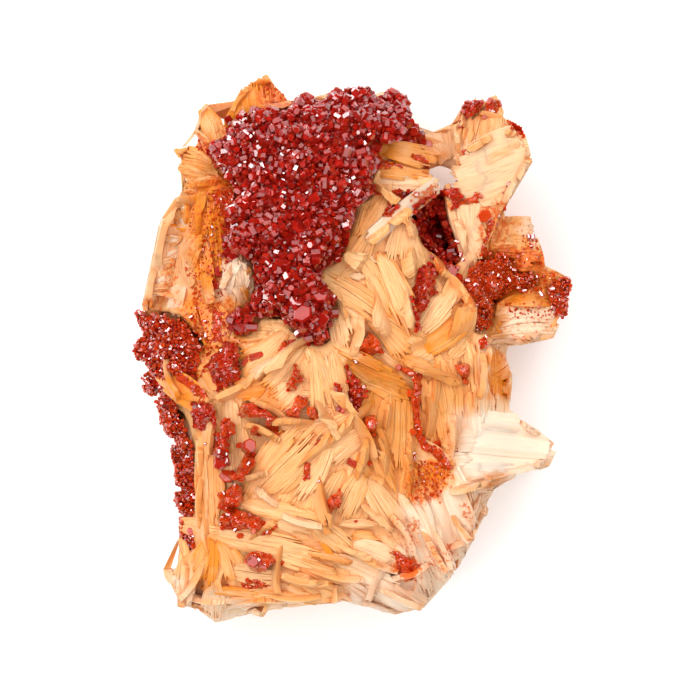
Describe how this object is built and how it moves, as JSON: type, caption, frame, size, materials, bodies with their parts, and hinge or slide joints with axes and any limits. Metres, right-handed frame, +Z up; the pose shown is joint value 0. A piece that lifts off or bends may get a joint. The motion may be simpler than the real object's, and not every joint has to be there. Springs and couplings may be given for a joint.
{
  "type": "vanadinite on matrix mineral specimen",
  "caption": "Mineral specimen lying flat: deep red six-sided vanadinite crystals crusted over a peach and cream bladed barite matrix.",
  "frame": {"origin": "middle of the bounding box, on the flat cut underside", "axes": "+Z up from the flat underside, +Y along the longest side of the stone toward the main red cluster, +X across it toward the fins"},
  "size_m": [0.0874, 0.1087, 0.0441],
  "materials": {
    "barite": "peach to cream bladed crystal with a silky lustre, orange along the blade edges",
    "vanadinite": "deep red, glassy crystal faces with bright glints"
  },
  "bodies": {
    "root": {"barite_matrix": "barite", "vanadinite_arrow": "vanadinite", "vanadinite_centre_tuft": "vanadinite", "vanadinite_cleft_crust": "vanadinite", "vanadinite_dark_pocket": "vanadinite", "vanadinite_fin_crown": "vanadinite", "vanadinite_heart": "vanadinite", "vanadinite_left_druse": "vanadinite", "vanadinite_lone_crystal_east": "vanadinite", "vanadinite_lone_crystal_west": "vanadinite", "vanadinite_main_cluster": "vanadinite", "vanadinite_middle_patch": "vanadinite", "vanadinite_red_strip": "vanadinite", "vanadinite_right_druse": "vanadinite", "vanadinite_rose": "vanadinite", "vanadinite_slab_druse": "vanadinite", "vanadinite_south_chain": "vanadinite", "vanadinite_south_heart": "vanadinite", "vanadinite_south_rosette": "vanadinite", "vanadinite_spiky_band": "vanadinite", "vanadinite_vein_top": "vanadinite", "vanadinite_west_chain": "vanadinite", "vanadinite_west_patch": "vanadinite"}
  },
  "joints": []
}
